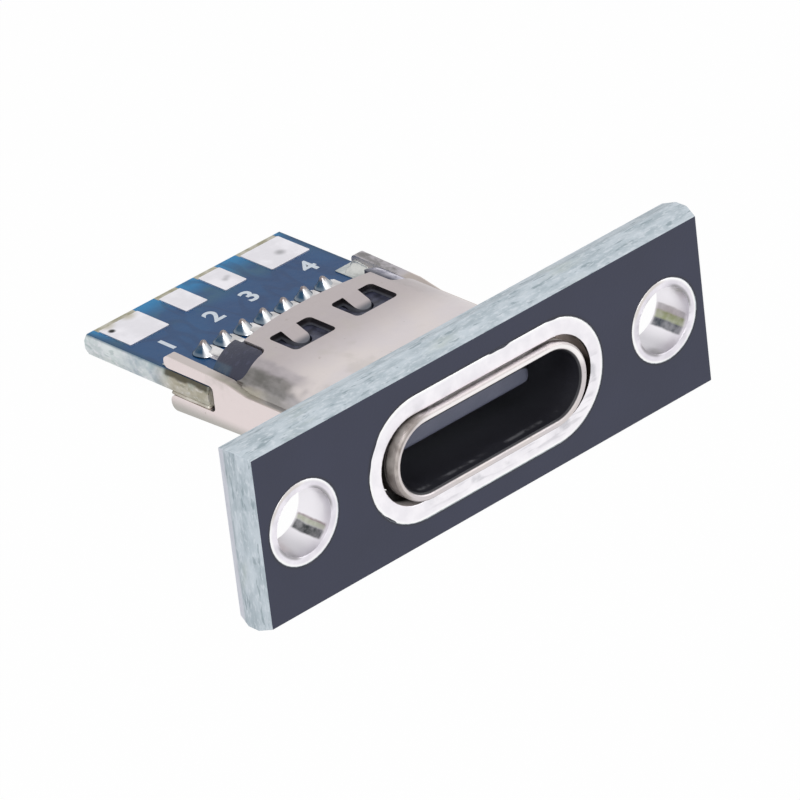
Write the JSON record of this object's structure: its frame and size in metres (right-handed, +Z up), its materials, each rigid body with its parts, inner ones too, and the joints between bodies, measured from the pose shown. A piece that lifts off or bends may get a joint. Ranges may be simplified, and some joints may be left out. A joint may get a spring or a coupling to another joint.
{
  "type": "panel-mount usb-c socket",
  "caption": "Panel-mount usb-c socket: a screw plate with a plated slot, a metal shell with fork arms, a tongue with flat contacts and a small rear solder board.",
  "frame": {"origin": "middle of the mouth and of the two screw holes, in the plane of the screw plate's front face", "axes": "+X along the plate through both screw holes, +Y back through the shell to the solder board, so the plug leaves along -Y, +Z up, square to the tongue"},
  "size_m": [0.021, 0.0156, 0.0068],
  "materials": {
    "black_board": "satin black solder mask on board laminate",
    "blue_board": "blue solder mask on board laminate",
    "tinned_plating": "smooth tinned copper",
    "shell_steel": "satin nickel-plated steel",
    "latch_steel": "plain steel",
    "black_insulator": "moulded black plastic",
    "contact_metal": "plated copper alloy",
    "solder": "bright solder"
  },
  "bodies": {
    "root": {"front_plate": "black_board", "screw_barrel_left": "tinned_plating", "screw_barrel_right": "tinned_plating", "slot_plating": "tinned_plating", "shell": "shell_steel", "insulator": "black_insulator", "latch_plate": "latch_steel", "contact_top_1": "contact_metal", "contact_top_2": "contact_metal", "contact_top_3": "contact_metal", "contact_top_4": "contact_metal", "contact_top_5": "contact_metal", "contact_top_6": "contact_metal", "contact_top_7": "contact_metal", "contact_bottom_1": "contact_metal", "contact_bottom_2": "contact_metal", "contact_bottom_3": "contact_metal", "contact_bottom_4": "contact_metal", "contact_bottom_5": "contact_metal", "contact_bottom_6": "contact_metal", "contact_bottom_7": "contact_metal", "solder_board": "blue_board", "wire_pad_1": "tinned_plating", "wire_pad_2": "tinned_plating", "wire_pad_3": "tinned_plating", "wire_pad_4": "tinned_plating", "tail_lands": "tinned_plating", "shield_lands": "tinned_plating", "solder_top": "solder", "solder_bottom": "solder", "prong_solder": "solder", "plate_solder": "solder"}
  },
  "joints": []
}
